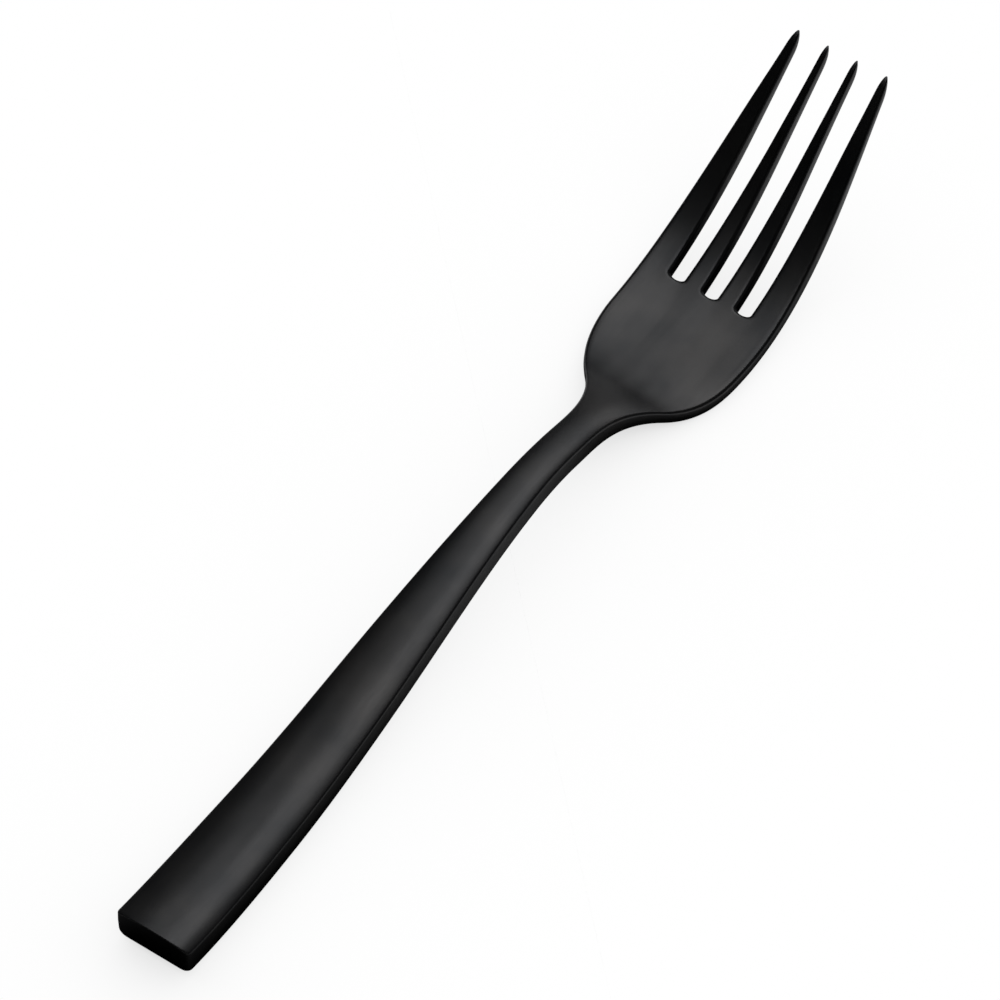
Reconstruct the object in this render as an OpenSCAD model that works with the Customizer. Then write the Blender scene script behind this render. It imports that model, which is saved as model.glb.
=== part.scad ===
// Salad fork with a hollow handle, lying as it does on a table.
// X runs along the fork from the butt to the tine tips, Y runs across it and Z points up.
// The origin lies on the table, under the middle of the fork's length.

/* [Handle] */
// Length from the butt to the neck
handle_l = 104; // [92:1:130]
// Width at the butt
butt_w = 13.2; // [11:0.1:18]
// Width halfway along the handle
grip_w = 10.6; // [9:0.1:15]
// Width of the neck
neck_w = 6.1; // [5:0.1:9]
// Thickness at the butt
butt_t = 5.8; // [4.6:0.1:8]
// Thickness at the neck
neck_t = 4.2; // [3.4:0.1:6]
// Distance from the butt to the place where the handle touches the table
handle_rest_l = 27; // [15:0.5:35]
// Height of the butt's underside above the table
butt_rise = 1.5; // [0:0.1:4]
// Distance from the neck back to the top of the handle's arch
arch_l = 10.5; // [8:0.5:20]
// Height of the underside above the table at the top of the handle's arch
arch_rise = 7.2; // [4:0.1:14]
// Height of the underside above the table at the neck
neck_rise = 6; // [3:0.1:12]
// Crown of the top face at the butt, from its middle to its edges
crown = 0.35; // [0:0.05:1]
// Crown of the top face at the neck
neck_crown = 0.15; // [0:0.05:0.5]
// Further fall of the top face close to its long edges, at the butt
edge_fall = 0.35; // [0:0.05:0.8]
// Further fall of the top face close to its long edges, at the neck
neck_edge_fall = 0.15; // [0:0.05:0.4]
// Belly of the underside, from its middle to its edges
belly = 0; // [0:0.05:0.6]
// Radius of the upper long edges, from the butt to halfway along the handle
handle_edge_r = 0.45; // [0.3:0.05:1.5]
// Radius of the upper long edges at the neck
neck_edge_r = 0.4; // [0.3:0.05:1]
// Radius of the lower long edges, from the butt to halfway along the handle
low_edge_r = 1.1; // [0.6:0.05:1.4]
// Radius of the lower long edges at the neck
neck_low_edge_r = 0.75; // [0.5:0.05:1]
// Radius of the butt's corners, seen from above
butt_corner_r = 0.8; // [0.6:0.05:1.2]

/* [Head] */
// Length from the neck to the tine tips, seen from above
head_l = 76; // [68:1:95]
// Greatest width of the head
head_w = 25; // [20:0.1:32]
// Width across the tips of the outer tines
tip_w = 17.3; // [15:0.1:24]
// Distance from the neck to the steepest place of the shoulder's flare
shoulder_l = 16.8; // [12:0.1:20]
// Width of the head at that place
shoulder_w = 14.6; // [11:0.1:16]
// Distance from the neck to the widest place of the head
widest_l = 35.1; // [28:0.1:38]
// Distance from the neck to the place where the bowl touches the table
bowl_rest_l = 31.5; // [24:0.5:34]
// Height of the underside above the table at the shoulder
shoulder_rise = 1.2; // [0.8:0.1:2.6]
// Thickness at the shoulder
shoulder_t = 3.2; // [2.4:0.1:4.5]
// Thickness of the bowl at its widest place
bowl_t = 2.4; // [1.6:0.1:3.2]
// Upright thickness halfway along the slots
tine_t = 3.4; // [2:0.1:4]
// Upright thickness at the tine tips
tip_t = 2.5; // [1.2:0.1:2.8]
// Crown of the top face at the shoulder
shoulder_crown = 0.2; // [0:0.05:0.5]
// Dish of the bowl, from its middle to its edges
dish = 0.35; // [0:0.05:2]
// Radius of the edges of the head
head_edge_r = 0.6; // [0.2:0.05:0.7]

/* [Tines] */
// Length of the slots between the tines, seen from above
slot_l = 36; // [28:0.5:42]
// Width of a slot where its rounded bottom ends
slot_w = 2.5; // [1.8:0.1:3]
// Length of the rounded bottom of a slot
slot_round = 0.6; // [0.4:0.05:1.2]
// Width of a slot between the tine tips
slot_mouth_w = 4.3; // [3.4:0.1:4.6]
// Distance between the slots at their bottoms
slot_pitch = 6.1; // [5.6:0.1:7.2]
// Distance between the slots at the tine tips
tip_pitch = 5.3; // [5:0.05:6]
// Length over which the bowl bends up into the tines
bend_l = 31; // [20:0.5:40]
// Angle of the straight part of the tines to the table
tine_angle = 39.5; // [20:0.5:44]
// Length of the rounded end of a tine
tine_round = 2.1; // [0.6:0.1:2.6]

/* [Construction] */
// Sheet thickness of the handle's half shells
shell_t = 0.8; // [0.5:0.05:1]
// Distance from the neck back to the seam between the head and the handle
neck_l = 24; // [18:0.5:32]
// Length of the plug that closes the mouth of the shells
plug_l = 4; // [2:0.5:8]
// Length of the tang, from the seam to its end
tang_l = 34; // [16:0.5:44]
// Filler round the tang, at the seam
tang_bed = 0.35; // [0.2:0.05:0.5]
// Thickness of the plate that closes the butt
cap_t = 1.6; // [1:0.1:3]
// Length of the spigot that locates the butt plate
spigot_l = 3; // [1.5:0.1:6]
// Size of the broken edge round the butt face
butt_break = 0.15; // [0.05:0.05:0.25]
// Clearance between pieces that are bonded into each other
fit = 0.05; // [0.02:0.01:0.1]

/* [Hidden] */

// Colours
black_coat = [0.075, 0.075, 0.08];
resin = [0.42, 0.38, 0.31];

// Places along the fork, measured from the butt
length = handle_l + head_l;
neck_x = handle_l;
arch_x = neck_x - arch_l;
grip_x = handle_l / 2;
shoulder_x = neck_x + shoulder_l;
bowl_x = neck_x + bowl_rest_l;
widest_x = neck_x + widest_l;
bend_x = bowl_x + bend_l;
slot_x = length - slot_l;
tine_x = slot_x + slot_l / 2;
seam_x = neck_x - neck_l;
tang_x = seam_x - tang_l;

// Slopes of the lines along the fork
grip_taper = -0.038;
shoulder_flare = 0.874;
tine_taper = -0.147;
butt_slope = -0.16;
neck_slope = -0.231;
shoulder_slope = -0.443;
neck_thinning = -0.015;
shoulder_thinning = -0.06;
bowl_thinning = -0.015;
slot_spread = 0.02;
slot_mouth_spread = 0.025;

// Each line along the fork is a smooth curve through rows of [x, value, slope]
tine_slope = tan(tine_angle);
bend_rise = bend_l * tine_slope / 2;
tip_rise = bend_rise + (length - bend_x) * tine_slope;
rim_thinning = 0.2;
width_rows = [
    [0, butt_w / 2, 0],
    [grip_x, grip_w / 2, grip_taper],
    [neck_x, neck_w / 2, 0],
    [shoulder_x, shoulder_w / 2, shoulder_flare],
    [widest_x, head_w / 2, 0],
    [length, tip_w / 2, tine_taper]];
under_rows = [
    [0, butt_rise, butt_slope],
    [handle_rest_l, 0, 0],
    [arch_x, arch_rise, 0],
    [neck_x, neck_rise, neck_slope],
    [shoulder_x, shoulder_rise, shoulder_slope],
    [bowl_x, 0, 0],
    [bend_x, bend_rise, tine_slope],
    [length, tip_rise, tine_slope]];
thick_rows = [
    [0, butt_t, 0],
    [neck_x, neck_t, neck_thinning],
    [shoulder_x, shoulder_t, shoulder_thinning],
    [widest_x, bowl_t, bowl_thinning],
    [tine_x, tine_t, 0],
    [length, tip_t, bowl_thinning]];
lift_rows = [
    [0, -crown, 0],
    [neck_x, -neck_crown, 0],
    [shoulder_x, -shoulder_crown, 0],
    [bowl_x, dish, 0],
    [length, 0, 0]];
fall_rows = [
    [0, -edge_fall, 0],
    [neck_x, -neck_edge_fall, 0],
    [shoulder_x, 0, 0],
    [length, 0, 0]];
keel_rows = [
    [0, belly, 0],
    [neck_x, belly, 0],
    [bowl_x, dish + rim_thinning, 0],
    [length, 0, 0]];
edge_rows = [
    [0, handle_edge_r, 0],
    [grip_x, handle_edge_r, 0],
    [neck_x, neck_edge_r, 0],
    [shoulder_x, head_edge_r, 0],
    [length, head_edge_r, 0]];
low_edge_rows = [
    [0, low_edge_r, 0],
    [grip_x, low_edge_r, 0],
    [neck_x, neck_low_edge_r, 0],
    [shoulder_x, head_edge_r, 0],
    [length, head_edge_r, 0]];
gap_rows = [
    [slot_x + slot_round, slot_w / 2, slot_spread],
    [length, slot_mouth_w / 2, slot_mouth_spread]];
pitch_rows = [[slot_x, slot_pitch, 0], [length, tip_pitch, 0]];

// Value at x on the smooth curve between two rows
function between(a, b, x) =
    let (d = b[0] - a[0], t = (x - a[0]) / d)
    a[1] * (2 * t ^ 3 - 3 * t ^ 2 + 1) + a[2] * d * (t ^ 3 - 2 * t ^ 2 + t)
    + b[1] * (3 * t ^ 2 - 2 * t ^ 3) + b[2] * d * (t ^ 3 - t ^ 2);

// Number of the row that starts the stretch holding x
function stretch(rows, x, i = 0) =
    i >= len(rows) - 2 || x < rows[i + 1][0] ? i : stretch(rows, x, i + 1);

// Value at x on the smooth curve through all rows
function along(rows, x) =
    let (i = stretch(rows, x))
    between(rows[i], rows[i + 1], x);

// Places from a to b in equal steps near the given size
function steps(a, b, size) =
    let (count = max(1, round(abs(b - a) / size)))
    [for (i = [0:count]) a + (b - a) * i / count];

function but_first(list) = [for (i = [1:len(list) - 1]) list[i]];
function reversed(list) = [for (i = [len(list) - 1:-1:0]) list[i]];
function flat(lists) = [for (list = lists) each list];

// How far the rounded corners of the butt draw in the sides at x
function corner_cut(x) =
    let (back = max(0, butt_corner_r - x))
    butt_corner_r - sqrt(butt_corner_r ^ 2 - back ^ 2);

// Edge radius inside a wall, kept within a share of the thickness
least_edge_r = 0.2;
upper_share = 0.6;
lower_share = 0.3;
function edge_r(rows, x, inset, most) = max(least_edge_r, min(along(rows, x) - inset, most));

// A section is a list of its half width, the height of its top, its thickness, the lift of its top
// edges, the lift of its lower edges, the radii of its upper and lower edges and the top's further fall
function section(x, inset = 0) =
    let (thickness = along(thick_rows, x) - 2 * inset)
    [along(width_rows, x) - corner_cut(x) - inset,
        along(under_rows, x) + along(thick_rows, x) - inset,
        thickness,
        along(lift_rows, x),
        along(keel_rows, x),
        edge_r(edge_rows, x, inset, thickness * upper_share),
        edge_r(low_edge_rows, x, inset, thickness * lower_share),
        along(fall_rows, x)];
function top_of(s, y) = s[1] + s[3] * (y / s[0]) ^ 2 + s[7] * (y / s[0]) ^ 4;
function low_of(s, y) = s[1] - s[2] + s[4] * (y / s[0]) ^ 2;

// Slope of a face across the fork at y
probe = 0.01;
function slope(face, y) = (face(y + probe) - face(y - probe)) / (2 * probe);

// Where the rounding of an edge leaves a face: [y, height, tilt of the face there]
// Sides: out is 1 for the right wall and -1 for the left one, up is 1 for the top and -1 for the underside
side_swell = 0.06;
tilt_rounds = 4;
function edge_start(face, wall, r, out, up, tilt = 0, rounds = tilt_rounds) =
    let (y = wall - out * r * (1 - sin(tilt)))
    rounds < 1
    ? [y, face(y), tilt]
    : edge_start(face, wall, r, out, up, -out * up * atan(slope(face, y)), rounds - 1);

// Point of the rounding, from the wall at share 0 to the face at share 1
function edge_point(x, start, r, out, up, share) =
    let (angle = (90 - start[2]) * share)
    [x,
        start[0] + out * r * (cos(angle) - sin(start[2])),
        start[1] + up * r * (sin(angle) - cos(start[2]))];

// Shares of the points that round an edge, and points across one tine's share
edge_shares = [0, 1 / 3, 2 / 3];
tine_columns = 3;
tine_count = 4;
slot_count = tine_count - 1;
slot_section = section(slot_x);
slot_face = function (y) top_of(slot_section, y);
slot_reach = edge_start(slot_face, slot_section[0] - side_swell, slot_section[5], 1, 1)[0];
slot_share = slot_pitch / slot_reach;
shares = [-1, -slot_share, 0, slot_share, 1];
columns = concat([for (lane = [0:tine_count - 1], j = [0:tine_columns - 1])
    shares[lane] + (shares[lane + 1] - shares[lane]) * j / tine_columns], [1]);

// Closed ring of points round a flat bar from y = a to y = b, with the radii [upper, lower] on each side
function bar_ring(x, s, a, b, ra, rb, places, squeeze = 1) =
    let (
        left = a + side_swell * squeeze,
        right = b - side_swell * squeeze,
        middle = (top_of(s, (a + b) / 2) + low_of(s, (a + b) / 2)) / 2,
        high = function (y) middle + (top_of(s, y) - middle) * squeeze,
        low = function (y) middle + (low_of(s, y) - middle) * squeeze,
        high_left = edge_start(high, left, ra[0], -1, 1),
        high_right = edge_start(high, right, rb[0], 1, 1),
        low_left = edge_start(low, left, ra[1], -1, -1),
        low_right = edge_start(low, right, rb[1], 1, -1),
        left_up = [for (p = edge_shares) edge_point(x, high_left, ra[0], -1, 1, p)],
        right_up = [for (p = edge_shares) edge_point(x, high_right, rb[0], 1, 1, p)],
        left_down = [for (p = edge_shares) edge_point(x, low_left, ra[1], -1, -1, p)],
        right_down = [for (p = edge_shares) edge_point(x, low_right, rb[1], 1, -1, p)],
        high_row = [for (p = places) high_left[0] + (high_right[0] - high_left[0]) * (p + 1) / 2],
        low_row = [for (p = places) low_left[0] + (low_right[0] - low_left[0]) * (p + 1) / 2])
    concat(
        [[x, a, (left_up[0].z + left_down[0].z) / 2]],
        left_up,
        [for (y = high_row) [x, y, high(y)]],
        reversed(right_up),
        [[x, b, (right_up[0].z + right_down[0].z) / 2]],
        right_down,
        [for (y = reversed(low_row)) [x, y, low(y)]],
        reversed(left_down));

function section_ring(x, s) = bar_ring(x, s, -s[0], s[0], [s[5], s[6]], [s[5], s[6]], columns);
function ring_at(x, inset = 0) = section_ring(x, section(x, inset));

// Points in a ring across the whole fork, and round one tine
edge_points = len(edge_shares);
ring_size = 2 * len(columns) + 4 * edge_points + 2;
tine_row = tine_columns + 1;
tine_ring_size = 2 * tine_row + 4 * edge_points + 2;

// The tang is a flat bar of one section, along the middle of the handle
seam_section = section(seam_x, shell_t + tang_bed);
tang_half_w = seam_section[0] - seam_section[5] / 2;
tang_t = seam_section[2] + seam_section[3] + seam_section[7] - seam_section[4];
tang_edge_r = 0.25;
function tang_ring(x, clearance = 0) =
    let (
        s = section(x),
        middle = (top_of(s, s[0]) + low_of(s, s[0])) / 2,
        t = tang_t + 2 * clearance)
    section_ring(x, [tang_half_w + clearance, middle + t / 2, t, 0, 0, tang_edge_r, tang_edge_r, 0]);

// Triangles between two rings of point numbers
function bridge(a, b) = [for (j = [0:len(a) - 1])
    let (k = (j + 1) % len(a))
    each [[a[j], a[k], b[k]], [a[j], b[k], b[j]]]];
function numbers(first, count) = [for (j = [0:count - 1]) first + j];

// Triangles that close a ring, laid across it from its upper half to its lower half
function strip(a, b) = [for (j = [0:len(a) - 2]) each [[a[j], a[j + 1], b[j + 1]], [a[j], b[j + 1], b[j]]]];
function ring_lid(ring) =
    let (n = len(ring), half = n / 2)
    [for (f = strip([for (j = [0:half]) ring[j]], [for (j = [0:half]) ring[(n - j) % n]]))
        if (f[0] != f[2] && f[1] != f[2]) f];

// Triangles that close the end of a shell, laid from its outer face to its inner face
function shell_lid(ring) =
    let (n = len(ring), half = n / 2)
    strip([for (j = [0:half - 1]) ring[j]], [for (j = [0:half - 1]) ring[n - 1 - j]]);
function turned(faces) = [for (f = faces) reversed(f)];

// Closed solid along a row of rings that all hold as many points
module skin(rings, shell = false) {
    size = len(rings[0]);
    last = len(rings) - 1;
    walls = [for (i = [0:last - 1]) each bridge(numbers(i * size, size), numbers((i + 1) * size, size))];
    first_ring = numbers(0, size);
    last_ring = numbers(last * size, size);
    first_end = turned(shell ? shell_lid(first_ring) : ring_lid(first_ring));
    last_end = shell ? shell_lid(last_ring) : ring_lid(last_ring);
    polyhedron(flat(rings), concat(first_end, walls, last_end));
}

// Spacing of the rings along the fork
tang_step = 6;
handle_step = 3.2;
neck_step = 3;
flare_step = 1.5;
tine_step = 2.6;
slot_angles = [30, 60, 90];
tip_angles = [35, 60, 78];
corner_angles = [60, 75, 90];

// Half width of a slot, which starts as half an ellipse
function gap(x) =
    let (back = (slot_x + slot_round - x) / slot_round)
    back > 0 ? slot_w / 2 * sqrt(max(0, 1 - back ^ 2)) : along(gap_rows, x);

// Rings of the head behind the slots: tang, plug, neck and bowl
tang_xs = steps(tang_x, seam_x - plug_l, tang_step);
body_xs = concat(
    steps(seam_x, neck_x, neck_step),
    but_first(steps(neck_x, widest_x, flare_step)),
    but_first(steps(widest_x, slot_x, flare_step)));
body_rings = concat(
    [for (x = tang_xs) tang_ring(x)],
    [for (x = [seam_x - plug_l, seam_x]) ring_at(x, shell_t + fit)],
    [for (x = body_xs) ring_at(x)]);

// Points down the bottom of each slot, shared by the tines on its two sides
slot_points = 2 * edge_points + 1;
function slot_bottom(k) =
    let (y = (k - 1) * slot_pitch, high = top_of(slot_section, y), low = low_of(slot_section, y))
    [for (j = [1:slot_points]) [slot_x, y, high + (low - high) * j / (slot_points + 1)]];

// Rings along one tine: [x, share of its full width]
last_tip = sin(tip_angles[len(tip_angles) - 1]);
tine_xs = concat(
    [for (t = slot_angles) [slot_x + slot_round * (1 - cos(t)), 1]],
    [for (x = but_first(steps(slot_x + slot_round, length - tine_round, tine_step))) [x, 1]],
    [for (t = tip_angles) [length - tine_round * (1 - sin(t) / last_tip), cos(t)]]);

// Edge radius on a slot's side, which grows from nothing at the slot's bottom
function slot_edge(x) = head_edge_r * min(1, gap(x) / (slot_w / 2));

// Largest edge radius of a tine, as a share of half its width there
most_edge_share = 0.6;
function tine_ring(lane, x, share) =
    let (
        s = section(x),
        slot_y = [for (k = [-1:1]) k * along(pitch_rows, x)],
        left = lane == 0 ? -s[0] : slot_y[lane - 1] + gap(x),
        right = lane == slot_count ? s[0] : slot_y[lane] - gap(x),
        half = (right - left) / 2 * share,
        middle = (left + right) / 2,
        most = half * most_edge_share,
        squeeze = (1 + share) / 2,
        ra = min(most, lane == 0 ? s[5] : slot_edge(x)),
        rb = min(most, lane == slot_count ? s[5] : slot_edge(x)),
        places = [for (j = [0:tine_columns]) 2 * j / tine_columns - 1])
    bar_ring(x, s, middle - half, middle + half, [ra, ra], [rb, rb], places, squeeze);

// Numbers of the points in the ring where a tine leaves the bowl
body_end = (len(body_rings) - 1) * ring_size;
slot_first = body_end + ring_size;
function slot_number(k, i) = slot_first + k * slot_points + i;
wide_more = len(columns) - tine_row;
right_side = edge_points + tine_row + 1;
low_row = right_side + slot_points;
left_low = low_row + tine_row;
function root_number(lane, j) =
    j <= edge_points ? (lane == 0 ? body_end + j : slot_number(lane - 1, edge_points - j))
    : j < right_side ? body_end + j + lane * tine_columns
    : j < low_row ? (lane == slot_count ? body_end + j + wide_more : slot_number(lane, j - right_side))
    : j < left_low ? body_end + j + 2 * wide_more - lane * tine_columns
    : lane == 0 ? body_end + j + 2 * wide_more
    : slot_number(lane - 1, slot_points - 1 - (j - left_low));

tines_first = slot_first + slot_count * slot_points;
function tine_numbers(lane, i) =
    i == 0
    ? [for (j = [0:tine_ring_size - 1]) root_number(lane, j)]
    : numbers(tines_first + (lane * len(tine_xs) + i - 1) * tine_ring_size, tine_ring_size);

module fork_head() {
    points = concat(
        flat(body_rings),
        [for (k = [0:slot_count - 1]) each slot_bottom(k)],
        [for (lane = [0:tine_count - 1], p = tine_xs) each tine_ring(lane, p[0], p[1])]);
    body_walls = [for (i = [0:len(body_rings) - 2])
        each bridge(numbers(i * ring_size, ring_size), numbers((i + 1) * ring_size, ring_size))];
    tine_walls = [for (lane = [0:tine_count - 1], i = [0:len(tine_xs) - 1])
        each bridge(tine_numbers(lane, i), tine_numbers(lane, i + 1))];
    tine_ends = [for (lane = [0:tine_count - 1]) each ring_lid(tine_numbers(lane, len(tine_xs)))];
    tang_end = turned(ring_lid(numbers(0, ring_size)));
    color(black_coat)
        translate([-length / 2, 0, 0])
            polyhedron(points, concat(tang_end, body_walls, tine_walls, tine_ends));
}

// Half of a ring, from the middle of one side to the middle of the other
half_size = ring_size / 2 + 1;
function top_half(ring) = [for (j = [0:half_size - 1]) ring[j]];
function low_half(ring) = [for (j = [0:half_size - 1]) ring[(j + half_size - 1) % ring_size]];

shell_xs = steps(cap_t, seam_x, handle_step);

module handle_top_shell() {
    rings = [for (x = shell_xs) concat(top_half(ring_at(x)), reversed(top_half(ring_at(x, shell_t))))];
    color(black_coat)
        translate([-length / 2, 0, 0])
            skin(rings, shell = true);
}

module handle_bottom_shell() {
    rings = [for (x = shell_xs) concat(low_half(ring_at(x)), reversed(low_half(ring_at(x, shell_t))))];
    color(black_coat)
        translate([-length / 2, 0, 0])
            skin(rings, shell = true);
}

module butt_cap() {
    spigot_inset = shell_t + fit;
    rings = concat(
        [ring_at(0, butt_break), ring_at(butt_break)],
        [for (t = corner_angles) ring_at(butt_corner_r * (1 - cos(t)))],
        [ring_at(cap_t), ring_at(cap_t, spigot_inset), ring_at(cap_t + spigot_l, spigot_inset)]);
    color(black_coat)
        translate([-length / 2, 0, 0])
            skin(rings);
}

module handle_filler() {
    back_x = cap_t + spigot_l + fit;
    front_x = seam_x - plug_l - fit;
    core_rings = [for (x = steps(back_x, front_x, handle_step)) ring_at(x, shell_t + fit)];
    socket_rings = [for (x = steps(front_x, tang_x - fit, tang_step)) tang_ring(x, fit)];
    color(resin)
        translate([-length / 2, 0, 0])
            skin(concat(core_rings, socket_rings));
}

fork_head();
handle_top_shell();
handle_bottom_shell();
butt_cap();
handle_filler();
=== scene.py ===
"""Salad fork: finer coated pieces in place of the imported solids, their finishes, a studio and the camera."""

import math

import bpy
import numpy as np
from mathutils import Matrix, Vector


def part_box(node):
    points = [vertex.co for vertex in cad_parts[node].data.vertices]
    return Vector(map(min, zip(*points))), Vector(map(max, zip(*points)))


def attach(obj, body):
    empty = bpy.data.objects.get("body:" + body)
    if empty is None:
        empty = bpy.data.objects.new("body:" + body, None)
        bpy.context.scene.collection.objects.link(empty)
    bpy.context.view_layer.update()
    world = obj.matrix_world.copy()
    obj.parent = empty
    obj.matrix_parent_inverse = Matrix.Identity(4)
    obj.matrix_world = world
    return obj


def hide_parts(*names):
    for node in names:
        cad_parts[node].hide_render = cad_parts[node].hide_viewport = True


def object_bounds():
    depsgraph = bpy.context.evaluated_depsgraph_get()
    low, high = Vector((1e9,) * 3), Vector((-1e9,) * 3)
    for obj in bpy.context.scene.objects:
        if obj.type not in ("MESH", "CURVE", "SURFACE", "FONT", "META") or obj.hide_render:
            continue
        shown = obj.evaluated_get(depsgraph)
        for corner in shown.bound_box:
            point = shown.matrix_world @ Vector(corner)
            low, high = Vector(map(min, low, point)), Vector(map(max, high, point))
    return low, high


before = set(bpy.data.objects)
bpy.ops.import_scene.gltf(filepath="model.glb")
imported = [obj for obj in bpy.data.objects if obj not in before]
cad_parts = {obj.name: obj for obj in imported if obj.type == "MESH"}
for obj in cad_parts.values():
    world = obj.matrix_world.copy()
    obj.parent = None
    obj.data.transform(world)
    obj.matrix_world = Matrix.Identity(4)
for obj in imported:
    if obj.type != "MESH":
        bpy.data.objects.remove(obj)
cad_low, cad_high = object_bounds()

# Lengths are in millimetres up to the finished meshes, which are in metres
MM = 0.001


def from_butt(point):
    """Distance of a point of the frame from the butt, in millimetres."""
    return (point.x - cad_low.x) / MM


# Lengths along the fork, from the neck except for the bend, the slots and the plug
arch_l = 10.5
shoulder_l = 16.8
bowl_rest_l = 31.5
widest_l = 35.1
bend_l = 31.0
slot_l = 36.0
slot_round = 0.6
plug_l = 4.0

# Places along the fork, measured from the butt
length = from_butt(cad_high)
tang_x = from_butt(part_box("fork_head")[0])
cap_t, seam_x = (from_butt(corner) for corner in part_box("handle_top_shell"))
spigot_x = from_butt(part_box("butt_cap")[1])
handle_rest_x = 27.0
neck_x = 104.0
grip_x = neck_x / 2
arch_x = neck_x - arch_l
shoulder_x = neck_x + shoulder_l
bowl_x = neck_x + bowl_rest_l
widest_x = neck_x + widest_l
bend_x = bowl_x + bend_l
slot_x = length - slot_l
slot_centre_x = slot_x + slot_round
tine_x = (slot_x + length) / 2

# Widths
butt_w = 13.2
grip_w = 10.6
neck_w = 6.1
shoulder_w = 14.6
head_w = (cad_high.y - cad_low.y) / MM
tip_w = 17.3
slot_w = 2.5
slot_mouth_w = 4.3
slot_pitch = 6.1
tip_pitch = 5.3

# Heights of the underside above the table, and the angle of the tines
butt_rise = 1.5
arch_rise = 7.2
neck_rise = 6.0
shoulder_rise = 1.2
tine_angle = math.radians(39.5)
tine_slope = math.tan(tine_angle)
bend_rise = bend_l * tine_slope / 2
tip_rise = bend_rise + (length - bend_x) * tine_slope

# Thicknesses, and the curve of the top and the underside across the fork
butt_t = 5.8
neck_t = 4.2
shoulder_t = 3.2
bowl_t = 2.4
tine_t = 3.4
tip_t = 2.5
crown = 0.35
neck_crown = 0.15
edge_fall = 0.35
neck_edge_fall = 0.15
shoulder_crown = 0.2
dish = 0.35
belly = 0.0
rim_thinning = 0.2

# Edges
handle_edge_r = 0.45
neck_edge_r = 0.4
low_edge_r = 1.1
neck_low_edge_r = 0.75
head_edge_r = 0.6
least_edge_r = 0.2
upper_share = 0.6
lower_share = 0.3
butt_corner_r = 0.8
butt_break = 0.15
side_swell = 0.06
tine_round = 2.1
most_edge_share = 0.6

# Construction inside the handle
shell_t = 0.8
tang_bed = 0.35
tang_edge_r = 0.25
fit = 0.05

# Counts
tine_count = 4
slot_count = tine_count - 1

# Slopes of the lines along the fork
grip_taper = -0.038
shoulder_flare = 0.874
tine_taper = -0.147
butt_slope = -0.16
neck_slope = -0.231
shoulder_slope = -0.443
neck_thinning = -0.015
shoulder_thinning = -0.06
bowl_thinning = -0.015
slot_spread = 0.02
slot_mouth_spread = 0.025

# Each line along the fork is a smooth curve through rows of place, value and slope
width_rows = [
    (0, butt_w / 2, 0),
    (grip_x, grip_w / 2, grip_taper),
    (neck_x, neck_w / 2, 0),
    (shoulder_x, shoulder_w / 2, shoulder_flare),
    (widest_x, head_w / 2, 0),
    (length, tip_w / 2, tine_taper),
]
under_rows = [
    (0, butt_rise, butt_slope),
    (handle_rest_x, 0, 0),
    (arch_x, arch_rise, 0),
    (neck_x, neck_rise, neck_slope),
    (shoulder_x, shoulder_rise, shoulder_slope),
    (bowl_x, 0, 0),
    (bend_x, bend_rise, tine_slope),
    (length, tip_rise, tine_slope),
]
thick_rows = [
    (0, butt_t, 0),
    (neck_x, neck_t, neck_thinning),
    (shoulder_x, shoulder_t, shoulder_thinning),
    (widest_x, bowl_t, bowl_thinning),
    (tine_x, tine_t, 0),
    (length, tip_t, bowl_thinning),
]
lift_rows = [
    (0, -crown, 0),
    (neck_x, -neck_crown, 0),
    (shoulder_x, -shoulder_crown, 0),
    (bowl_x, dish, 0),
    (length, 0, 0),
]
fall_rows = [
    (0, -edge_fall, 0),
    (neck_x, -neck_edge_fall, 0),
    (shoulder_x, 0, 0),
    (length, 0, 0),
]
keel_rows = [
    (0, belly, 0),
    (neck_x, belly, 0),
    (bowl_x, dish + rim_thinning, 0),
    (length, 0, 0),
]
edge_rows = [
    (0, handle_edge_r, 0),
    (grip_x, handle_edge_r, 0),
    (neck_x, neck_edge_r, 0),
    (shoulder_x, head_edge_r, 0),
    (length, head_edge_r, 0),
]
low_edge_rows = [
    (0, low_edge_r, 0),
    (grip_x, low_edge_r, 0),
    (neck_x, neck_low_edge_r, 0),
    (shoulder_x, head_edge_r, 0),
    (length, head_edge_r, 0),
]
gap_rows = [
    (slot_centre_x, slot_w / 2, slot_spread),
    (length, slot_mouth_w / 2, slot_mouth_spread),
]
pitch_rows = [(slot_x, slot_pitch, 0), (length, tip_pitch, 0)]

# Fineness of the meshes: points round an edge, points across a tine, and spacing of the rings
edge_points = 8
edge_shares = np.arange(edge_points) / edge_points
tine_columns = 8
handle_step = 1.0
neck_step = 0.8
flare_step = 0.5
tine_step = 0.8

# Turns of the rings round a slot's bottom, a tine's tip and the butt's corners
slot_turns = np.radians(np.linspace(9, 90, 10))
tip_turns = np.radians(np.linspace(6, 86, 11))
corner_turns = np.radians(np.linspace(45, 90, 7))


def along(rows, x):
    """Value at x on the smooth curve through the rows."""
    places, values, slopes = np.array(rows, float).T
    i = np.clip(np.searchsorted(places, x, side="right") - 1, 0, len(places) - 2)
    span = places[i + 1] - places[i]
    t = (x - places[i]) / span
    start = values[i] * (2 * t**3 - 3 * t**2 + 1) + slopes[i] * span * (t**3 - 2 * t**2 + t)
    end = values[i + 1] * (3 * t**2 - 2 * t**3) + slopes[i + 1] * span * (t**3 - t**2)
    return start + end


def steps(start, end, size):
    """Places from start to end in equal steps near the given size."""
    count = max(1, round(abs(end - start) / size))
    return np.linspace(start, end, count + 1)


def half_width(x, inset=0.0):
    """Half the width at x, drawn in at the butt's rounded corners and by the inset."""
    back = np.clip(butt_corner_r - x, 0, butt_corner_r)
    corner_cut = butt_corner_r - np.sqrt(butt_corner_r**2 - back**2)
    return along(width_rows, x) - corner_cut - inset


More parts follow.
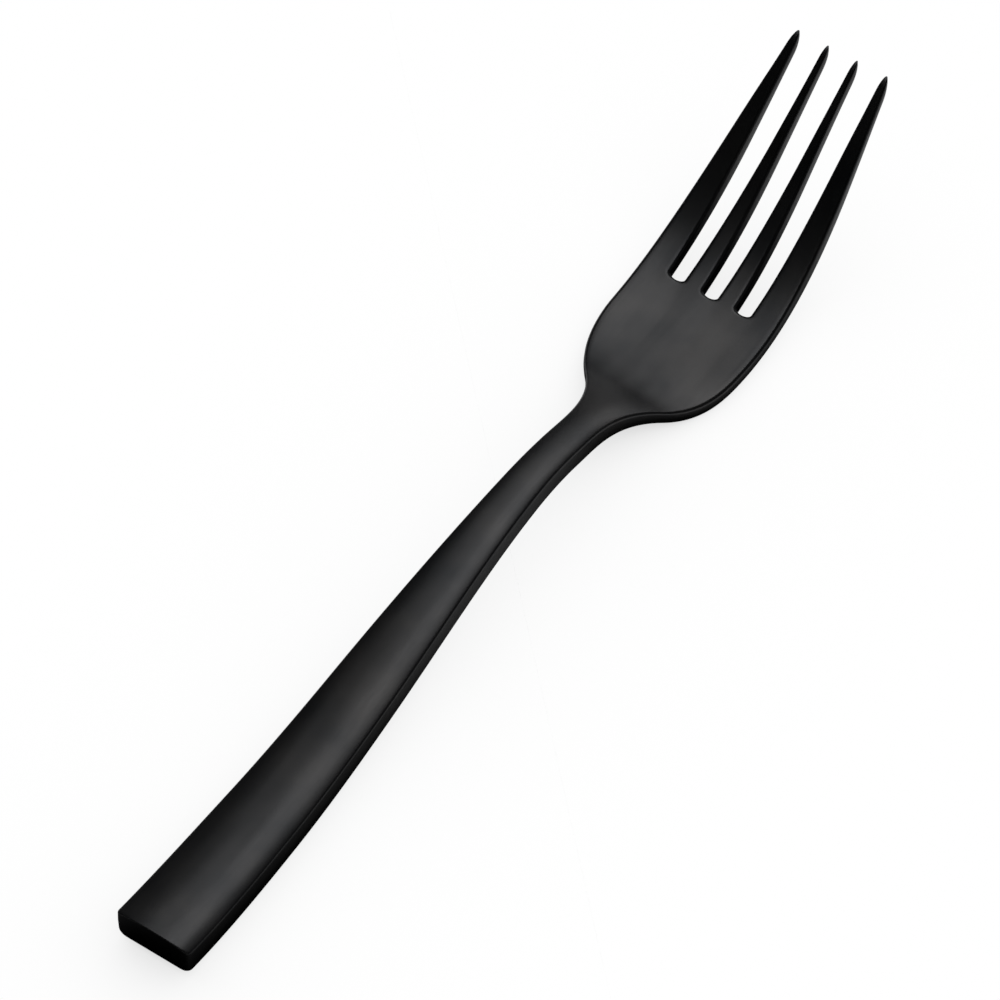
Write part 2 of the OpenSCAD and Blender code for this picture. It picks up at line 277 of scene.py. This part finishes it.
def top_height(plan, inset=0.0):
    """Height of the top face over points of the plan."""
    x, y = plan[..., 0], plan[..., 1]
    crest = along(under_rows, x) + along(thick_rows, x) - inset
    share = y / half_width(x, inset)
    return crest + along(lift_rows, x) * share**2 + along(fall_rows, x) * share**4


def low_height(plan, inset=0.0):
    """Height of the underside over points of the plan."""
    x, y = plan[..., 0], plan[..., 1]
    return along(under_rows, x) + inset + along(keel_rows, x) * (y / half_width(x, inset)) ** 2


def raised(plan, heights):
    """Points of the plan at the given heights."""
    plan = np.atleast_2d(plan)
    return np.column_stack([plan, np.broadcast_to(heights, len(plan))])


def edge_radius(rows, x, inset, share):
    """Radius of an edge at x inside the inset, kept within a share of the thickness."""
    most = (along(thick_rows, x) - 2 * inset) * share
    return max(least_edge_r, min(along(rows, x) - inset, most))


def rounding(side, face, radius, up):
    """Points and heights round an edge, from the wall to the face it runs into, and where that face begins.

    side gives the plan's point on a wall, moved into the metal by a distance, and face gives heights. up is
    1 for the top and -1 for the underside.
    """
    probe = 0.01
    tries = 4
    start = side_swell + radius
    for _ in range(tries):
        rise = (face(side(start + probe)) - face(side(start - probe))) / (2 * probe)
        tilt = math.atan(up * rise)
        start = side_swell + radius * (1 - math.sin(tilt))
    angles = (math.pi / 2 - tilt) * edge_shares
    plan = np.array([side(side_swell + radius * (1 - math.cos(angle))) for angle in angles])
    heights = face(side(start)) + up * radius * (np.sin(angles) - math.cos(tilt))
    return raised(plan, heights), side(start)


def bar_ring(left, right, left_r, right_r, shares, top, low):
    """Closed ring of points round a bar whose sides have their own upper and lower edge radii.

    left and right give the plan's point on a side, moved into the bar by a distance, and top and low give
    the heights of its faces.
    """
    left_up, top_left = rounding(left, top, left_r[0], 1)
    right_up, top_right = rounding(right, top, right_r[0], 1)
    left_down, low_left = rounding(left, low, left_r[1], -1)
    right_down, low_right = rounding(right, low, right_r[1], -1)
    places = (shares[:, None] + 1) / 2
    top_row = top_left + (top_right - top_left) * places
    low_row = (low_left + (low_right - low_left) * places)[::-1]
    return np.concatenate([
        raised(left(0), (left_up[0, 2] + left_down[0, 2]) / 2),
        left_up,
        raised(top_row, top(top_row)),
        right_up[::-1],
        raised(right(0), (right_up[0, 2] + right_down[0, 2]) / 2),
        right_down,
        raised(low_row, low(low_row)),
        left_down[::-1],
    ])


def outer_side(toward, x):
    """Outer side of the fork as a function of the distance into the metal, toward -1 or 1 across it."""
    return lambda d: np.array([x, toward * (half_width(x) - d)])


# The bowl ends where the rounded upper edges of the slots begin, and its points lie in lanes, one to a tine
body_end_x = rounding(lambda d: np.array([slot_x - d, 0.0]), top_height, head_edge_r, 1)[1][0]
body_reach = rounding(outer_side(1, body_end_x), top_height, head_edge_r, 1)[1][1]
slot_share = slot_pitch / body_reach
lane_shares = [-1, -slot_share, 0, slot_share, 1]
body_shares = np.interp(
    np.arange(tine_count * tine_columns + 1),
    np.arange(tine_count + 1) * tine_columns,
    lane_shares,
)


def ring_at(x, inset=0.0):
    """Ring round the whole fork at x, moved inward by the inset."""
    half = half_width(x, inset)
    edges = (edge_radius(edge_rows, x, inset, upper_share), edge_radius(low_edge_rows, x, inset, lower_share))
    return bar_ring(
        lambda d: np.array([x, d - half]),
        lambda d: np.array([x, half - d]),
        edges,
        edges,
        body_shares,
        lambda plan: top_height(plan, inset),
        lambda plan: low_height(plan, inset),
    )


def tang_ring(x):
    """Ring round the tang, a flat bar of one section along the middle of the handle."""
    inset = shell_t + tang_bed
    seam_half = half_width(seam_x, inset)
    seam_edge = np.array([seam_x, seam_half])
    half = seam_half - edge_radius(edge_rows, seam_x, inset, upper_share) / 2
    half_t = (top_height(seam_edge, inset) - low_height(seam_edge, inset)) / 2
    side = np.array([x, half_width(x)])
    middle = (top_height(side) + low_height(side)) / 2
    edges = (tang_edge_r, tang_edge_r)
    return bar_ring(
        lambda d: np.array([x, d - half]),
        lambda d: np.array([x, half - d]),
        edges,
        edges,
        body_shares,
        lambda plan: np.full(plan.shape[:-1], middle + half_t),
        lambda plan: np.full(plan.shape[:-1], middle - half_t),
    )


def slot_y(slot, x):
    """Middle line of a slot."""
    return (slot - (slot_count - 1) / 2) * along(pitch_rows, x)


def slot_bottom(slot):
    """Points down the rounded bottom of a slot, from its upper edge to its lower edge."""
    y = slot_y(slot, slot_x)

    def side(d):
        return np.array([slot_x - d, y])

    upper = rounding(side, top_height, head_edge_r, 1)[0]
    lower = rounding(side, low_height, head_edge_r, -1)[0]
    return np.concatenate([upper[::-1], raised(side(0), (upper[0, 2] + lower[0, 2]) / 2), lower])


def slot_side(slot, toward, turn, x):
    """Side of a slot as a function of the distance into the metal, toward -1 or 1 across the fork.

    A turn below a right angle lies on the slot's round bottom, and x places the rest.
    """
    if turn < math.pi / 2:
        ahead, across = -math.cos(turn), toward * math.sin(turn)
        foot = np.array([slot_centre_x + slot_round * ahead, slot_y(slot, slot_x) + slot_w / 2 * across])
        inward = np.array([ahead / slot_round, across / (slot_w / 2)])
        inward /= np.linalg.norm(inward)

        def place(d):
            return foot + d * inward
    else:
        def place(d):
            return np.array([x, slot_y(slot, x) + toward * (along(gap_rows, x) + d)])
    return place


def tine_ring(lane, turn, x, share):
    """Ring round one tine, with its width taken down to a share near the tip."""
    root_l = slot_centre_x - body_end_x
    outer_x = slot_centre_x - root_l * math.cos(turn) if turn < math.pi / 2 else x
    full_left = outer_side(-1, outer_x) if lane == 0 else slot_side(lane - 1, 1, turn, x)
    full_right = outer_side(1, outer_x) if lane == slot_count else slot_side(lane, -1, turn, x)
    middle = (full_left(0) + full_right(0)) / 2
    half = np.linalg.norm(full_right(0) - full_left(0)) / 2 * share
    squeeze = (1 + share) / 2
    edge = min(head_edge_r, half * most_edge_share)
    mid_height = (top_height(middle) + low_height(middle)) / 2
    if share < 1:
        def left(d):
            return middle + np.array([0, d * squeeze - half])

        def right(d):
            return middle + np.array([0, half - d * squeeze])
    else:
        left, right = full_left, full_right
    return bar_ring(
        left,
        right,
        (edge, edge),
        (edge, edge),
        np.linspace(-1, 1, tine_columns + 1),
        lambda plan: mid_height + (top_height(plan) - mid_height) * squeeze,
        lambda plan: mid_height + (low_height(plan) - mid_height) * squeeze,
    )


def bridge(first, second):
    """Quads between two rings of point numbers."""
    return list(zip(first, np.roll(first, -1), np.roll(second, -1), second))


def ring_lid(ring):
    """Faces that close a ring, laid across it from its upper half to its lower half."""
    count = len(ring)
    upper = [ring[j] for j in range(count // 2 + 1)]
    lower = [ring[-j] for j in range(count // 2 + 1)]
    quads = zip(upper, upper[1:], lower[1:], lower)
    return [tuple(dict.fromkeys(quad)) for quad in quads]


def turned(faces):
    """The same faces, seen from their other side."""
    return [tuple(reversed(face)) for face in faces]


def numbers(first, count):
    """Point numbers of one ring."""
    return np.arange(first, first + count)


def loft(rings):
    """Walls along a row of rings that all hold as many points."""
    size = len(rings[0])
    walls = []
    for i in range(len(rings) - 1):
        walls += bridge(numbers(i * size, size), numbers((i + 1) * size, size))
    return walls


def add_piece(name, points, faces, node):
    """A closed mesh piece that takes the place of a CAD node, smooth up to a crease."""
    crease = math.radians(40)
    mesh = bpy.data.meshes.new(name)
    placed = (np.asarray(points) + [cad_low.x / MM, 0, 0]) * MM
    mesh.from_pydata(placed.tolist(), [], [tuple(int(n) for n in face) for face in faces])
    mesh.validate()
    mesh.shade_smooth()
    mesh.set_sharp_from_angle(angle=crease)
    piece = bpy.data.objects.new(name, mesh)
    bpy.context.scene.collection.objects.link(piece)
    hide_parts(node)
    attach(piece, "root")
    return piece


def root_numbers(lane, body_end, slot_first):
    """Point numbers of the ring where a tine leaves the bowl, partly on the bowl and partly on the slots."""
    row = tine_columns + 1
    wide_row = len(body_shares)
    slot_points = 2 * edge_points + 1
    top_row = body_end + 1 + edge_points + lane * tine_columns + np.arange(row)
    right_end = body_end + 1 + edge_points + wide_row
    low_end = right_end + slot_points
    low_row = low_end + (tine_count - 1 - lane) * tine_columns + np.arange(row)
    if lane == 0:
        left_up = body_end + np.arange(edge_points + 1)
        left_low = low_end + wide_row + np.arange(edge_points)
    else:
        bottom = slot_first + (lane - 1) * slot_points + np.arange(slot_points)
        left_up = bottom[edge_points::-1]
        left_low = bottom[:edge_points:-1]
    if lane == slot_count:
        right_side = right_end + np.arange(slot_points)
    else:
        right_side = slot_first + lane * slot_points + np.arange(slot_points)
    return np.concatenate([left_up, top_row, right_side, low_row, left_low])


def fork_head():
    """Tang, plug, neck, bowl and tines, in one piece."""
    rings = [tang_ring(x) for x in steps(tang_x, seam_x - plug_l, handle_step)]
    rings += [ring_at(x, shell_t + fit) for x in (seam_x - plug_l, seam_x)]
    rings += [ring_at(x) for x in steps(seam_x, neck_x, neck_step)]
    rings += [ring_at(x) for x in steps(neck_x, body_end_x, flare_step)[1:]]
    faces = turned(ring_lid(numbers(0, len(rings[0])))) + loft(rings)
    body_end = (len(rings) - 1) * len(rings[0])
    slot_first = body_end + len(rings[0])
    points = rings + [slot_bottom(slot) for slot in range(slot_count)]
    next_number = slot_first + slot_count * (2 * edge_points + 1)
    round_x = length - tine_round
    stations = [(turn, slot_centre_x, 1) for turn in slot_turns]
    stations += [(math.pi / 2, x, 1) for x in steps(slot_centre_x, round_x, tine_step)[1:]]
    tip_x = round_x + tine_round * np.sin(tip_turns) / math.sin(tip_turns[-1])
    stations += [(math.pi / 2, x, math.cos(turn)) for x, turn in zip(tip_x, tip_turns)]
    for lane in range(tine_count):
        last = root_numbers(lane, body_end, slot_first)
        for station in stations:
            points.append(tine_ring(lane, *station))
            ring = numbers(next_number, len(last))
            faces += bridge(last, ring)
            last = ring
            next_number += len(ring)
        faces += ring_lid(last)
    return np.concatenate(points), faces


def half_ring(ring, lower):
    """Half of a ring, from the middle of one side to the middle of the other."""
    half = len(ring) // 2
    return np.roll(ring, -half if lower else 0, axis=0)[: half + 1]


def handle_shell(lower):
    """One half of the hollow handle, from the butt cap to the seam at the neck."""
    rings = [
        np.concatenate([half_ring(ring_at(x), lower), half_ring(ring_at(x, shell_t), lower)[::-1]])
        for x in steps(cap_t, seam_x, handle_step)
    ]
    size = len(rings[0])
    wall = size // 2
    lid = [(j, j + 1, size - 2 - j, size - 1 - j) for j in range(wall - 1)]
    end = (len(rings) - 1) * size
    far_lid = [tuple(end + n for n in face) for face in lid]
    return np.concatenate(rings), turned(lid) + loft(rings) + far_lid


def butt_cap():
    """Plate that closes the butt, with its broken edge, rounded corners and the spigot behind it."""
    rings = [
        ring_at(butt_break * (1 - math.cos(turn)), butt_break * (1 - math.sin(turn)))
        for turn in edge_shares * math.pi / 2
    ]
    rings += [ring_at(x) for x in butt_corner_r * (1 - np.cos(corner_turns))]
    rings += [ring_at(cap_t), ring_at(cap_t, shell_t + fit), ring_at(spigot_x, shell_t + fit)]
    size = len(rings[0])
    end = numbers((len(rings) - 1) * size, size)
    return np.concatenate(rings), turned(ring_lid(numbers(0, size))) + loft(rings) + ring_lid(end)


def node_tools(tree):
    """Shortcuts to add a node and to link two sockets of a material's or a world's node tree."""

    def add(kind, **settings):
        made = tree.nodes.new(kind)
        for key, value in settings.items():
            setattr(made, key, value)
        return made

    return add, tree.links.new


def fresh_material(name):
    """A new material and its shader."""
    material = bpy.data.materials.new(name)
    material.use_nodes = True
    shader = material.node_tree.nodes["Principled BSDF"]
    return material, shader


def ramp(add, low, high):
    """Colour ramp node between two places with their colours."""
    made = add("ShaderNodeValToRGB")
    for element, (place, colour) in zip(made.color_ramp.elements, (low, high)):
        element.position = place
        element.color = (*colour, 1)
    return made


def black_coating():
    """Satin black coating on steel: cloudy tone, polishing lines and waves, and a fine skin."""
    material, shader = fresh_material("satin_black_coating")
    add, link = node_tools(material.node_tree)
    shader.inputs["Metallic"].default_value = 1.0
    place = add("ShaderNodeTexCoord")

    # Cloudy tone of the coating, one or two centimetres across
    cloud = add("ShaderNodeTexNoise")
    cloud.inputs["Scale"].default_value = 70
    cloud.inputs["Detail"].default_value = 3
    tone = ramp(add, (0.35, (0.040, 0.041, 0.043)), (0.65, (0.059, 0.058, 0.058)))
    link(place.outputs["Object"], cloud.inputs["Vector"])
    link(cloud.outputs["Fac"], tone.inputs["Fac"])
    link(tone.outputs["Color"], shader.inputs["Base Color"])

    # Fine lines left along the fork by the polishing before the coat
    stretch = add("ShaderNodeMapping")
    stretch.inputs["Scale"].default_value = (60, 2600, 2600)
    grain = add("ShaderNodeTexNoise")
    grain.inputs["Scale"].default_value = 1
    grain.inputs["Detail"].default_value = 2
    gloss = add("ShaderNodeMapRange")
    gloss.inputs["To Min"].default_value = 0.27
    gloss.inputs["To Max"].default_value = 0.35
    link(place.outputs["Object"], stretch.inputs["Vector"])
    link(stretch.outputs["Vector"], grain.inputs["Vector"])
    link(grain.outputs["Fac"], gloss.inputs["Value"])
    link(gloss.outputs["Result"], shader.inputs["Roughness"])

    # Slow waves left in the steel by the polishing wheel
    wave_place = add("ShaderNodeMapping")
    wave_place.inputs["Scale"].default_value = (35, 170, 170)
    wave = add("ShaderNodeTexNoise")
    wave.inputs["Scale"].default_value = 1
    wave.inputs["Detail"].default_value = 1
    wave_bump = add("ShaderNodeBump")
    wave_bump.inputs["Strength"].default_value = 1.0
    wave_bump.inputs["Distance"].default_value = 0.00012
    link(place.outputs["Object"], wave_place.inputs["Vector"])
    link(wave_place.outputs["Vector"], wave.inputs["Vector"])
    link(wave.outputs["Fac"], wave_bump.inputs["Height"])

    # Skin of the coating
    skin = add("ShaderNodeTexNoise")
    skin.inputs["Scale"].default_value = 5200
    skin.inputs["Detail"].default_value = 2
    bump = add("ShaderNodeBump")
    bump.inputs["Strength"].default_value = 0.05
    bump.inputs["Distance"].default_value = 0.00002
    link(place.outputs["Object"], skin.inputs["Vector"])
    link(skin.outputs["Fac"], bump.inputs["Height"])
    link(wave_bump.outputs["Normal"], bump.inputs["Normal"])
    link(bump.outputs["Normal"], shader.inputs["Normal"])
    return material


def cast_resin():
    """Mineral filled resin inside the handle: speckled, dull and slightly pitted."""
    material, shader = fresh_material("cast_resin")
    add, link = node_tools(material.node_tree)
    place = add("ShaderNodeTexCoord")
    speckle = add("ShaderNodeTexNoise")
    speckle.inputs["Scale"].default_value = 1800
    speckle.inputs["Detail"].default_value = 4
    tone = ramp(add, (0.35, (0.34, 0.30, 0.24)), (0.65, (0.47, 0.43, 0.36)))
    rough = add("ShaderNodeMapRange")
    rough.inputs["To Min"].default_value = 0.6
    rough.inputs["To Max"].default_value = 0.85
    bump = add("ShaderNodeBump")
    bump.inputs["Strength"].default_value = 0.3
    bump.inputs["Distance"].default_value = 0.0001
    link(place.outputs["Object"], speckle.inputs["Vector"])
    link(speckle.outputs["Fac"], tone.inputs["Fac"])
    link(tone.outputs["Color"], shader.inputs["Base Color"])
    link(speckle.outputs["Fac"], rough.inputs["Value"])
    link(rough.outputs["Result"], shader.inputs["Roughness"])
    link(speckle.outputs["Fac"], bump.inputs["Height"])
    link(bump.outputs["Normal"], shader.inputs["Normal"])
    return material


def white_floor():
    """Floor that glows white with a faint painted shadow; in reflections it shows a deep painted shadow under
    the fork and a painted pool of lamplight that dims far from it.
    """
    material, shader = fresh_material("white_floor")
    add, link = node_tools(material.node_tree)
    shader.inputs["Base Color"].default_value = (0.8, 0.8, 0.8, 1)
    shader.inputs["Roughness"].default_value = 1.0
    shader.inputs["Specular IOR Level"].default_value = 0.0
    path = add("ShaderNodeLightPath")

    # Painted shadow close to the fork, on the side away from the lamp: occlusion darkens the glow, faintly
    # where seen directly and deeply in reflections
    toward_lamp = add("ShaderNodeCombineXYZ")
    for axis, share in zip("XYZ", (0.6, 0.0, 0.8)):
        toward_lamp.inputs[axis].default_value = share
    painted_shadow_mask = add("ShaderNodeAmbientOcclusion", samples=16)
    painted_shadow_mask.inputs["Distance"].default_value = 0.06
    painted_shadow_depth = add("ShaderNodeMapRange")
    painted_shadow_depth.inputs["To Min"].default_value = 9.0
    painted_shadow_depth.inputs["To Max"].default_value = 0.2
    painted_shadow = add("ShaderNodeMath", operation="POWER")
    link(toward_lamp.outputs["Vector"], painted_shadow_mask.inputs["Normal"])
    link(path.outputs["Is Camera Ray"], painted_shadow_depth.inputs["Value"])
    link(painted_shadow_mask.outputs["AO"], painted_shadow.inputs[0])
    link(painted_shadow_depth.outputs["Result"], painted_shadow.inputs[1])

    # Painted pool of lamplight: in reflections the glow is brightest under the neck and falls off from there;
    # seen directly it stays even
    place = add("ShaderNodeTexCoord")
    painted_pool_reach = add("ShaderNodeVectorMath", operation="DISTANCE")
    painted_pool_reach.inputs[1].default_value = (0.015, 0, 0)
    painted_pool_falloff = add("ShaderNodeMapRange")
    painted_pool_falloff.inputs["From Min"].default_value = 0.03
    painted_pool_falloff.inputs["From Max"].default_value = 0.11
    painted_pool_falloff.inputs["To Min"].default_value = 1.0
    painted_pool_falloff.inputs["To Max"].default_value = 0.2
    level = add("ShaderNodeMath", operation="MAXIMUM")
    strength = add("ShaderNodeMath", operation="MULTIPLY")
    link(place.outputs["Object"], painted_pool_reach.inputs[0])
    link(painted_pool_reach.outputs["Value"], painted_pool_falloff.inputs["Value"])
    link(painted_pool_falloff.outputs["Result"], level.inputs[0])
    link(path.outputs["Is Camera Ray"], level.inputs[1])
    link(painted_shadow.outputs["Value"], strength.inputs[0])
    link(level.outputs["Value"], strength.inputs[1])

    # Seen directly, in metal or through glass it glows, carrying the painted shadow and painted pool of
    # lamplight; other light meets a plain matte white surface
    seen = add("ShaderNodeMath", operation="MAXIMUM")
    shown = add("ShaderNodeMath", operation="MAXIMUM")
    glow_with_painted_shade = add("ShaderNodeEmission")
    mix = add("ShaderNodeMixShader")
    link(path.outputs["Is Camera Ray"], seen.inputs[0])
    link(path.outputs["Is Glossy Ray"], seen.inputs[1])
    link(seen.outputs["Value"], shown.inputs[0])
    link(path.outputs["Is Transmission Ray"], shown.inputs[1])
    link(strength.outputs["Value"], glow_with_painted_shade.inputs["Strength"])
    link(shown.outputs["Value"], mix.inputs["Fac"])
    link(shader.outputs["BSDF"], mix.inputs[1])
    link(glow_with_painted_shade.outputs["Emission"], mix.inputs[2])
    output = material.node_tree.nodes["Material Output"]
    link(mix.outputs["Shader"], output.inputs["Surface"])
    return material


def add_floor():
    """Wide floor under the fork."""
    half = 6.0
    mesh = bpy.data.meshes.new("floor")
    corners = [(-half, -half, 0), (half, -half, 0), (half, half, 0), (-half, half, 0)]
    mesh.from_pydata(corners, [], [(0, 1, 2, 3)])
    floor = bpy.data.objects.new("floor", mesh)
    bpy.context.scene.collection.objects.link(floor)
    mesh.materials.append(white_floor())


def set_world():
    """Dim room, darker behind the butt, with a white band round the horizon."""
    world = bpy.data.worlds.new("studio")
    bpy.context.scene.world = world
    world.use_nodes = True
    add, link = node_tools(world.node_tree)
    background = world.node_tree.nodes["Background"]
    background.inputs["Color"].default_value = (0.97, 0.98, 1.0, 1)
    place = add("ShaderNodeTexCoord")
    split = add("ShaderNodeSeparateXYZ")
    room = add("ShaderNodeMapRange")
    room.inputs["From Min"].default_value = -0.6
    room.inputs["From Max"].default_value = 0.4
    room.inputs["To Min"].default_value = 0.013
    room.inputs["To Max"].default_value = 0.085
    band = ramp(add, (0.05, (1, 1, 1)), (0.10, (0, 0, 0)))
    level = add("ShaderNodeMix", data_type="FLOAT")
    level.inputs["B"].default_value = 1.0
    link(place.outputs["Generated"], split.inputs["Vector"])
    link(split.outputs["X"], room.inputs["Value"])
    link(split.outputs["Z"], band.inputs["Fac"])
    link(room.outputs["Result"], level.inputs["A"])
    link(band.outputs["Color"], level.inputs["Factor"])
    link(level.outputs["Result"], background.inputs["Strength"])


def add_strip_light():
    """Long, narrow strip light that starts over the neck and runs off past the head and to its left."""
    strip_l = 1.92
    strip_w = 0.093
    turn = math.radians(11.5)
    near_end = Vector((-0.008, 0.043, 0.309))
    lamp = bpy.data.lights.new("strip_light", "AREA")
    lamp.shape = "RECTANGLE"
    lamp.size = strip_l
    lamp.size_y = strip_w
    lamp.energy = 1.2
    light = bpy.data.objects.new("strip_light", lamp)
    light.location = near_end + Vector((math.cos(turn), math.sin(turn), 0)) * strip_l / 2
    light.rotation_euler = (0, 0, turn)
    bpy.context.scene.collection.objects.link(light)


def add_camera():
    """Camera at the photograph's viewing angle, with its framing."""
    turn = math.radians(55.28)
    elevation = math.radians(54.08)
    distance = 1.1025
    target = Vector((0, 0, 0.005))
    ahead = Vector((
        math.cos(elevation) * math.sin(turn),
        math.cos(elevation) * math.cos(turn),
        -math.sin(elevation),
    ))
    data = bpy.data.cameras.new("camera")
    data.sensor_width = 36
    data.lens = 265.06
    data.shift_x = -0.00875
    data.shift_y = 0.02356
    camera = bpy.data.objects.new("camera", data)
    facing = ahead.to_track_quat("-Z", "Y").to_matrix().to_4x4()
    camera.matrix_world = Matrix.Translation(target - ahead * distance) @ facing
    bpy.context.scene.collection.objects.link(camera)
    bpy.context.scene.camera = camera


coating = black_coating()
for name, node, (points, faces) in (
    ("coated_head", "fork_head", fork_head()),
    ("coated_top_shell", "handle_top_shell", handle_shell(lower=False)),
    ("coated_bottom_shell", "handle_bottom_shell", handle_shell(lower=True)),
    ("coated_butt_cap", "butt_cap", butt_cap()),
):
    add_piece(name, points, faces, node).data.materials.append(coating)

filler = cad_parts["handle_filler"]
filler.data.materials.clear()
filler.data.materials.append(cast_resin())

add_floor()
set_world()
add_strip_light()
add_camera()
bpy.context.scene.view_settings.view_transform = "Standard"
